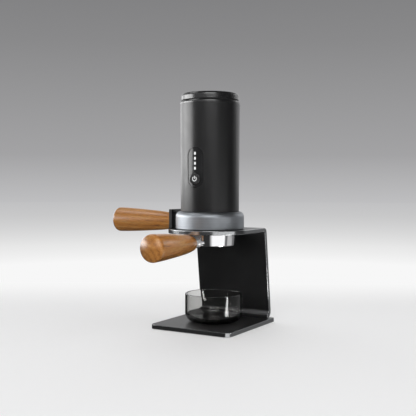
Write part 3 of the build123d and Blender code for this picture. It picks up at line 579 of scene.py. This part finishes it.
def circuit_board(name, flat):
    """Green solder mask over copper tracks, with tinned pads."""
    make = material(name)
    where = make.place(flat)
    track = make.node(
        "ShaderNodeTexBrick",
        {"offset": 0.35, "squash": 1.0},
        {
            "Vector": where,
            "Color1": (0.0, 0.0, 0.0),
            "Color2": (0.25, 0.25, 0.25),
            "Mortar": (1.0, 1.0, 1.0),
            "Scale": 260.0,
            "Mortar Size": 0.045,
            "Brick Width": 0.9,
            "Row Height": 0.32,
        },
        output="Fac",
    )
    pads = make.node(
        "ShaderNodeTexVoronoi", {"feature": "F1"}, {"Vector": where, "Scale": 330.0}, output="Distance"
    )
    pad = make.ease(pads, 0.16, 0.20, 1.0, 0.0)
    mask = make.blend(track, looks().board, [part * 2.0 for part in looks().board])
    return make.surface(
        {
            "Base Color": make.blend(pad, mask, (0.62, 0.60, 0.55)),
            "Metallic": pad * 0.9,
            "Roughness": 0.34 + track * 0.08 - pad * 0.06,
            "Normal": make.bump(track + pad, 0.00004, 0.6),
        }
    )


def shrink_wrap(name):
    """Shrink wrap on the battery cells, drawn tight over their ends."""
    make = material(name)
    crease = make.noise(make.place((500.0, 500.0, 90.0)), 2.0)
    light = [min(1.0, part * 1.5) for part in looks().wrap]
    return make.surface(
        {
            "Base Color": make.blend(make.ease(crease, 0.4, 0.7), looks().wrap, light),
            "Roughness": 0.28 + crease * 0.12,
            "Normal": make.bump(crease, 0.00005, 0.5),
        }
    )


def smoke_plastic(name):
    """Smoke grey moulding of the tank and the chassis."""
    make = material(name)
    flow = make.noise(make.place((40.0, 40.0, 12.0)), 3.0)
    fine = make.even(0.0006, 1.0)
    light = [part * 1.35 for part in looks().tank]
    return make.surface(
        {
            "Base Color": make.blend(flow, looks().tank, light),
            "Roughness": 0.30 + fine * 0.10 + flow * 0.05,
            "Normal": make.bump(fine, 0.00002, 0.4),
        }
    )


def silicone(name):
    """Milky silicone tube."""
    make = material(name)
    cloud = make.even(0.004, 2.0)
    return make.surface(
        {
            "Base Color": make.blend(cloud, (0.52, 0.52, 0.50), (0.72, 0.72, 0.70)),
            "Roughness": 0.38 + cloud * 0.12,
            "Transmission Weight": 0.25,
            "IOR": 1.41,
            "Normal": make.bump(cloud, 0.00004, 0.4),
        }
    )


def dress(finish, *nodes):
    """Give CAD nodes a finish in place of the one they were packed with."""
    for name in nodes:
        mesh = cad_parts[name].data
        mesh.materials.clear()
        mesh.materials.append(finish)


def new_piece(name, shape, finish, body):
    """Turn a bmesh in the machine's frame into a piece that rides on a body."""
    bmesh.ops.recalc_face_normals(shape, faces=shape.faces)
    mesh = bpy.data.meshes.new(name)
    shape.to_mesh(mesh)
    shape.free()
    mesh.shade_smooth()
    mesh.set_sharp_from_angle(angle=SHARP)
    mesh.materials.append(finish)
    piece = bpy.data.objects.new(name, mesh)
    bpy.context.scene.collection.objects.link(piece)
    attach(piece, body)


class ESPRESSO_OT_stand(Operator):
    """Powder coat on the bent plate and the base with a painted highlight on the foot's bend, rubber on the
    pads, steel on the foot screws
    """

    bl_idname = "espresso.stand"
    bl_label = "Stand"

    def execute(self, context):
        dress(powder_coat("stand_coat", self.shelf_edge, self.bend_highlight_mask), "stand_frame")
        dress(powder_coat("base_coat", self.base_edge), "base_plate")
        dress(soft_rubber("pad_rubber"), "base_pad", "seat_pad")
        dress(brushed_steel("foot_screw_steel"), "foot_screws")
        return {"FINISHED"}

    def shelf_edge(self, make):
        """1 on the rim of the shelf and along the sides of the wall."""
        _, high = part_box("stand_frame")
        across, deep = make.axis("X"), make.axis("Y")
        ahead = deep.maths("MINIMUM", deep, 0.0)
        reach = (across * across + ahead * ahead) ** 0.5
        return make.ease(reach, high.x - RIM[0], high.x - RIM[1])

    def bend_highlight_mask(self, make):
        """1 on the inside of the bend between the wall and its foot, where a highlight is painted."""
        _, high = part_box("base_plate")
        facing = make.node("ShaderNodeNewGeometry", output="Normal")
        ahead = make.node("ShaderNodeSeparateXYZ", {}, {0: facing}, output="Y")
        inside = make.ease(ahead, -0.25, -0.10, 1.0, 0.0)
        rise = make.axis("Z") - high.z
        return inside * make.window(rise, *BEND_HIGHLIGHT_RISE)

    def base_edge(self, make):
        """1 on the upright faces round the base plate."""
        upright = make.node("ShaderNodeNewGeometry", output="Normal")
        rise = make.node("ShaderNodeSeparateXYZ", {}, {0: upright}, output="Z")
        return make.ease(abs(rise), 0.25, 0.75, 1.0, 0.0)


class ESPRESSO_OT_brew_head(Operator):
    """Turned alloy on the collar, and steel and rubber on the brew head inside it"""

    bl_idname = "espresso.brew_head"
    bl_label = "Brew head"

    def execute(self, context):
        dress(turned_alloy("collar_alloy"), "collar", "head_block")
        dress(brushed_steel("head_steel"), "bayonet_ring", "shower_screen", "shower_screw", "collar_screws")
        dress(soft_rubber("gasket_rubber"), "brew_gasket")
        return {"FINISHED"}


class ESPRESSO_OT_side_handle(Operator):
    """Moulded bracket, steel rod and oiled wooden grip of the side handle"""

    bl_idname = "espresso.side_handle"
    bl_label = "Side handle"

    def execute(self, context):
        low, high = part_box("side_grip")
        middle = (low.z + high.z) / 2
        dress(moulded_black("bracket_black"), "handle_bracket")
        dress(brushed_steel("side_rod_steel"), "side_stud")
        dress(oiled_wood("side_grip_wood", "X", middle, SIDE_HEART), "side_grip")
        return {"FINISHED"}


class ESPRESSO_OT_body(Operator):
    """Anodised shell, gloss ring and lid, and the plug and seal below the lid"""

    bl_idname = "espresso.body"
    bl_label = "Body and lid"

    def execute(self, context):
        dress(anodised_shell("shell_black"), "body_shell")
        dress(gloss_black("lid_gloss"), "top_ring", "lid_cap")
        dress(smoke_plastic("plug_plastic"), "lid_plug")
        dress(soft_rubber("seal_rubber"), "lid_seal")
        return {"FINISHED"}


class ESPRESSO_OT_panel(Operator):
    """Control panel with its light bars, and the power button with its mark"""

    bl_idname = "espresso.panel"
    bl_label = "Control panel"

    def execute(self, context):
        sizes = context.scene.espresso_marks
        dress(moulded_black("panel_black", 0.14), "panel_bezel")
        dress(gloss_black("button_gloss"), "power_button")
        dress(lit_bar("bar_light", 0.80, lambda make: self.lit_middle(make, sizes)), "led_bars")
        low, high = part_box("power_button")
        centre = Vector(((low.x + high.x) / 2, low.y, (low.z + high.z) / 2))
        glow = lit_bar("mark_light", 0.85)
        new_piece("power_mark", self.mark(centre, sizes), glow, "power_button")
        return {"FINISHED"}

    def lit_middle(self, make, sizes):
        """1 on the lit middle of each light bar, 0 on its masked rim."""
        low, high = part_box("led_bars")
        above = make.axis("Z") - low.z
        row = above.maths("MODULO", above, sizes.bar_pitch)
        up = abs(row - sizes.bar_height / 2)
        across = abs(make.axis("X") - (low.x + high.x) / 2)
        tall = make.ease(up, sizes.lit_height / 2 - sizes.lit_edge, sizes.lit_height / 2, 1.0, 0.0)
        return tall * make.ease(across, sizes.lit_width / 2 - sizes.lit_edge, sizes.lit_width / 2, 1.0, 0.0)

    def mark(self, centre, sizes):
        """An open ring and a short bar, standing a hair out of the button's face."""
        shape = bmesh.new()
        radius = sizes.ring_radius
        inner, outer = radius - sizes.stroke / 2, radius + sizes.stroke / 2
        start = Matrix.Rotation(-sizes.gap / 2, 3, "Y")
        ends = [(inner, 0.0), (outer, 0.0), (outer, -sizes.raise_by), (inner, -sizes.raise_by)]
        corners = [shape.verts.new(centre + start @ Vector((0.0, out, r))) for r, out in ends]
        face = shape.faces.new(corners)
        bmesh.ops.spin(
            shape,
            geom=[face, *face.edges, *face.verts],
            cent=centre,
            axis=(0.0, 1.0, 0.0),
            dvec=(0.0, 0.0, 0.0),
            angle=-(2 * math.pi - sizes.gap),
            steps=sizes.steps,
            use_merge=False,
            use_normal_flip=False,
            use_duplicate=False,
        )
        bar = bmesh.ops.create_cube(
            shape,
            size=1.0,
            matrix=Matrix.Translation(centre + Vector((0.0, -sizes.raise_by / 2, radius * BAR_MIDDLE)))
            @ Matrix.Diagonal((sizes.stroke, sizes.raise_by, radius * BAR_LENGTH, 1.0)),
        )
        edges = dict.fromkeys(edge for vert in bar["verts"] for edge in vert.link_edges)
        across = [edge for edge in edges if abs((edge.verts[0].co - edge.verts[1].co).y) > 1e-6]
        bmesh.ops.bevel(
            shape,
            geom=across,
            offset=sizes.stroke * 0.45,
            offset_type="OFFSET",
            segments=4,
            profile=0.5,
            affect="EDGES",
            material=-1,
        )
        return shape


class ESPRESSO_OT_charge_socket(Operator):
    """Steel shell of the charging socket and the tongue inside it"""

    bl_idname = "espresso.charge_socket"
    bl_label = "Charging socket"

    def execute(self, context):
        sizes = context.scene.espresso_marks
        dress(brushed_steel("socket_steel"), "charge_port")
        dress(circuit_board("charge_board_mask", (1.0, 1.0, 1.0)), "charge_board")
        low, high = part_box("charge_port")
        middle = (low.z + high.z) / 2
        shape = bmesh.new()
        made = bmesh.ops.create_cube(
            shape,
            size=1.0,
            matrix=Matrix.Translation((0.0, low.y + TONGUE_GAP + sizes.tongue_depth / 2, middle))
            @ Matrix.Diagonal((sizes.tongue_width, sizes.tongue_depth, sizes.tongue_thick, 1.0)),
        )
        front = [v for v in made["verts"] if v.co.y > low.y + sizes.tongue_depth / 2]
        edges = [e for e in shape.edges if all(v in front for v in e.verts)]
        bmesh.ops.bevel(
            shape,
            geom=edges,
            offset=sizes.tongue_thick * 0.3,
            offset_type="OFFSET",
            segments=3,
            profile=0.5,
            affect="EDGES",
            material=-1,
        )
        new_piece("socket_tongue", shape, self.contacts(), "stand")
        return {"FINISHED"}

    def contacts(self):
        """Black moulding with a row of gilt contacts across it."""
        make = material("tongue_contacts")
        across = make.axis("X")
        stripe = make.ease(across.maths("PINGPONG", across, CONTACT_STEP), *CONTACT_EDGE)
        fine = make.even(0.0004, 1.0)
        return make.surface(
            {
                "Base Color": make.blend(stripe, (0.012, 0.012, 0.012), (0.72, 0.50, 0.20)),
                "Metallic": stripe,
                "Roughness": 0.32 + fine * 0.1,
            }
        )


class ESPRESSO_OT_inside(Operator):
    """Tank, heater, pump, cells and boards inside the shell"""

    bl_idname = "espresso.inside"
    bl_label = "Inside the body"

    def execute(self, context):
        dress(smoke_plastic("tank_smoke"), "water_tank", "chassis")
        dress(brushed_steel("heater_steel"), "heater_plate", "temperature_probe", "pump_motor")
        dress(moulded_black("pump_black"), "pump_head", "button_switch")
        dress(shrink_wrap("cell_wrap"), "battery_cells")
        dress(silicone("tube_silicone"), "tank_tube", "outlet_tube")
        dress(circuit_board("control_board_mask", (1.0, 0.0, 1.0)), "control_board")
        return {"FINISHED"}


class ESPRESSO_OT_portafilter(Operator):
    """Chrome holder and neck, steel basket and clip, dark washer and wooden grip"""

    bl_idname = "espresso.portafilter"
    bl_label = "Portafilter"

    def execute(self, context):
        low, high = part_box("portafilter_grip")
        middle = (low.z + high.z) / 2
        dress(polished_chrome("holder_chrome", high.y + NECK), "portafilter_body")
        dress(brushed_steel("basket_steel"), "filter_basket", "basket_clip", "portafilter_stud")
        dress(moulded_black("washer_black"), "handle_washer")
        dress(oiled_wood("portafilter_wood", "Y", middle, PORTAFILTER_HEART), "portafilter_grip")
        return {"FINISHED"}


class ESPRESSO_OT_cup(Operator):
    """Smoked glass cup"""

    bl_idname = "espresso.cup"
    bl_label = "Cup"

    def execute(self, context):
        dress(smoked_glass("cup_glass"), "glass_cup")
        return {"FINISHED"}


class ESPRESSO_OT_stage(Operator):
    """Pale floor, grey surroundings, the camera and soft lamps"""

    bl_idname = "espresso.stage"
    bl_label = "Stage"

    def execute(self, context):
        setup = context.scene.espresso_stage
        context.scene.view_settings.view_transform = "Standard"
        self.surroundings(context.scene, setup)
        self.floor(setup)
        self.camera(context.scene, setup)
        for name, turn, rise, away, width, height, glow, hidden_from in LAMPS:
            lamp = self.lamp(name, setup, turn, rise, away, width, height, glow)
            if hidden_from:
                setattr(lamp, hidden_from, False)
        return {"FINISHED"}

    def sides(self, setup):
        """Level directions to the right of the camera, and from the machine towards it."""
        right = Vector((math.cos(setup.turn), math.sin(setup.turn), 0.0))
        front = Vector((math.sin(setup.turn), -math.cos(setup.turn), 0.0))
        return right, front

    def seen(self, make):
        """1 for the rays that show the surroundings: straight, mirrored or through glass."""
        straight = make.node("ShaderNodeLightPath", output="Is Camera Ray")
        glossy = make.node("ShaderNodeLightPath", output="Is Glossy Ray")
        through = make.node("ShaderNodeLightPath", output="Is Transmission Ray")
        return straight.maths("MINIMUM", straight + glossy + through, 1.0)

    def mirrored(self, make):
        """1 for the rays that a surface has mirrored; rays only bent through glass don't count."""
        times = make.node("ShaderNodeLightPath", output="Glossy Depth")
        return times.maths("MINIMUM", times, 1.0)

    def surroundings(self, scene, setup):
        """Grey backdrop; mirrored, pale behind, with a flat on the left, unlit on the right and overhead."""
        scene.world = bpy.data.worlds.new("studio")
        make = Finish(scene.world)
        right, front = self.sides(setup)
        direction = make.node("ShaderNodeTexCoord", output="Generated")
        rise = make.node("ShaderNodeSeparateXYZ", {}, {0: direction}, output="Z")
        pale = make.ramp(
            rise * 3.0 + 0.15,
            [(0.07, setup.horizon), (0.26, setup.low_sky), (0.70, setup.high_sky), (1.0, setup.sky)],
        )
        behind = make.ease(make.along(-front, direction), 0.05, 0.75)
        foot = [part * 0.15 for part in setup.flat]
        flat = make.blend(make.ease(rise, 0.0, 0.20), foot, setup.flat)
        ahead = make.blend(make.ease(make.along(right, direction), 0.30, 0.70), flat, setup.unlit)
        level = make.blend(behind, ahead, setup.sweep)
        studio = make.blend(make.ease(rise, 0.35, 0.70), level, setup.unlit)
        colour = make.blend(self.mirrored(make), pale, studio)
        strength = setup.fill + self.seen(make) * (1.0 - setup.fill)
        shader = make.node("ShaderNodeBackground", {}, {"Color": colour, "Strength": strength})
        make.node("ShaderNodeOutputWorld", {}, {"Surface": shader})

    def floor(self, setup):
        """White paper that runs into the backdrop; mirrored, a dark floor with bright cards on it."""
        shape = bmesh.new()
        bmesh.ops.create_circle(shape, cap_ends=True, radius=FLOOR_RADIUS, segments=96)
        mesh = bpy.data.meshes.new("floor")
        shape.to_mesh(mesh)
        shape.free()
        floor = bpy.data.objects.new("floor", mesh)
        bpy.context.scene.collection.objects.link(floor)
        make = material("floor_paper")
        reach = make.distance(make.place())
        plain = self.paper(make, setup, reach)
        cards = self.cards(make, setup, reach)
        mixed = make.node("ShaderNodeMixShader", {}, {0: self.mirrored(make), 1: plain, 2: cards})
        make.node("ShaderNodeOutputMaterial", {}, {"Surface": mixed})
        mesh.materials.append(make.owner)

    def paper(self, make, setup, reach):
        """Paper that takes shadows near the machine, and glows where it runs into the backdrop."""
        front = self.sides(setup)[1]
        grain = make.even(0.002, 2.0)
        paper = make.node(
            "ShaderNodeBsdfPrincipled",
            {},
            {
                "Base Color": make.blend(grain, [part * 0.985 for part in setup.floor], setup.floor),
                "Roughness": 0.6,
                "Specular IOR Level": 0.2,
            },
        )
        far = make.ramp(
            GLOW_REACH / reach,
            [(0.10, setup.horizon), (0.24, setup.far_paper), (0.60, setup.mid_paper), (0.95, setup.glow)],
        )
        glow = make.node("ShaderNodeEmission", {}, {"Color": far, "Strength": self.seen(make)})
        share = make.ease(reach, 0.35, 1.3, 0.62, 0.0) * make.ease(make.along(front), -0.42, -0.12)
        return make.node("ShaderNodeMixShader", {}, {0: 1.0 - share, 1: paper, 2: glow})

    def cards(self, make, setup, reach):
        """The floor in reflections: dark, with cards on the right, and a streak that the cup shows."""
        right, front = self.sides(setup)
        low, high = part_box("base_plate")
        corner = make.place(shift=(-high.x + CORNER, -low.y - CORNER, 0.0))
        side, ahead = make.along(right, corner), make.along(front, corner)
        bearing = side.maths("ARCTAN2", side, ahead)
        spread = make.distance(corner)
        patch = make.window(bearing, *PATCH_BEARING) * make.ease(spread, *PATCH_EDGE, 1.0, 0.0)
        near = make.window(reach, *NEAR_REACH)
        sector = near * make.window(bearing, *SECTOR_BEARING)
        beyond = near * make.window(bearing, *BEYOND_BEARING)
        strip = make.window(bearing, *STRIP_BEARING) * make.window(reach, *STRIP_REACH)
        streak = make.window(make.axis("Y"), *STREAK_Y) * make.window(make.axis("X"), *STREAK_X)
        card = patch + strip * STRIP_GAIN + sector * SECTOR_GAIN
        card = card + beyond * BEYOND_GAIN + streak * STREAK_GAIN
        dull = [part * 0.205 for part in setup.sweep]
        dim = [part * 0.12 for part in setup.flat]
        beside = make.blend(make.ease(bearing, 0.8, 1.1), setup.unlit, dull)
        distant = make.blend(make.ease(bearing, 0.2, 0.9), dim, setup.unlit)
        distant = make.blend(make.ease(bearing, 1.8, 2.1), distant, dull)
        around = make.blend(make.ease(reach, 0.9, 1.4), beside, distant)
        shown = make.blend(card.maths("MINIMUM", card, 1.0), around, setup.card)
        strength = card.maths("MAXIMUM", card, 1.0)
        return make.node("ShaderNodeEmission", {}, {"Color": shown, "Strength": strength})

    def camera(self, scene, setup):
        """The camera, turned round the machine, with its lens and its shift."""
        right, front = self.sides(setup)
        ahead = -front
        look = math.cos(setup.pitch) * ahead - math.sin(setup.pitch) * UP
        above = right.cross(look)
        side = math.cos(setup.roll) * right + math.sin(setup.roll) * above
        above = side.cross(look)
        data = bpy.data.cameras.new("camera")
        data.sensor_width = SENSOR
        data.lens = setup.focal * SENSOR / PICTURE
        data.shift_x = (PICTURE / 2 - setup.centre_x) / PICTURE
        data.shift_y = (setup.centre_y - PICTURE / 2) / PICTURE
        data.clip_start = 0.01
        camera = bpy.data.objects.new("camera", data)
        turned = Matrix((side, above, -look)).transposed().to_4x4()
        place = -setup.away * ahead + setup.sideways * right + setup.height * UP
        camera.matrix_world = Matrix.Translation(place) @ turned
        scene.collection.objects.link(camera)
        scene.camera = camera

    def lamp(self, name, setup, turn, rise, away, width, height, glow):
        """A softbox that faces the machine, turned left from the camera's side and raised, in degrees."""
        right, front = self.sides(setup)
        turn, rise = math.radians(turn), math.radians(rise)
        level = math.cos(turn) * front - math.sin(turn) * right
        out = math.cos(rise) * level + math.sin(rise) * UP
        data = bpy.data.lights.new(name, "AREA")
        data.shape = "RECTANGLE"
        data.size, data.size_y = width, height
        data.energy = glow * math.pi * width * height
        lamp = bpy.data.objects.new(name, data)
        lamp.visible_camera = False
        facing = out.to_track_quat("Z", "Y").to_matrix().to_4x4()
        lamp.matrix_world = Matrix.Translation(MIDDLE + out * away) @ facing
        bpy.context.scene.collection.objects.link(lamp)
        return lamp


STEPS = (
    ESPRESSO_OT_stand,
    ESPRESSO_OT_brew_head,
    ESPRESSO_OT_side_handle,
    ESPRESSO_OT_body,
    ESPRESSO_OT_panel,
    ESPRESSO_OT_charge_socket,
    ESPRESSO_OT_inside,
    ESPRESSO_OT_portafilter,
    ESPRESSO_OT_cup,
    ESPRESSO_OT_stage,
)


class ESPRESSO_PT_sidebar(Panel):
    """Buttons for the machine's pieces and the stage"""

    bl_idname = "ESPRESSO_PT_sidebar"
    bl_label = "Espresso machine"
    bl_space_type = "VIEW_3D"
    bl_region_type = "UI"
    bl_category = "Espresso"

    def draw(self, context):
        column = self.layout.column()
        for step in STEPS:
            column.operator(step.bl_idname)


CLASSES = (FinishSettings, MarkSettings, StageSettings, *STEPS, ESPRESSO_PT_sidebar)


def register():
    for item in CLASSES:
        bpy.utils.register_class(item)
    bpy.types.Scene.espresso_finish = PointerProperty(type=FinishSettings)
    bpy.types.Scene.espresso_marks = PointerProperty(type=MarkSettings)
    bpy.types.Scene.espresso_stage = PointerProperty(type=StageSettings)


def unregister():
    del bpy.types.Scene.espresso_stage
    del bpy.types.Scene.espresso_marks
    del bpy.types.Scene.espresso_finish
    for item in reversed(CLASSES):
        bpy.utils.unregister_class(item)


def main():
    register()
    bpy.ops.espresso.stand()
    bpy.ops.espresso.brew_head()
    bpy.ops.espresso.side_handle()
    bpy.ops.espresso.body()
    bpy.ops.espresso.panel()
    bpy.ops.espresso.charge_socket()
    bpy.ops.espresso.inside()
    bpy.ops.espresso.portafilter()
    bpy.ops.espresso.cup()
    bpy.ops.espresso.stage()


if __name__ == "__main__":
    main()
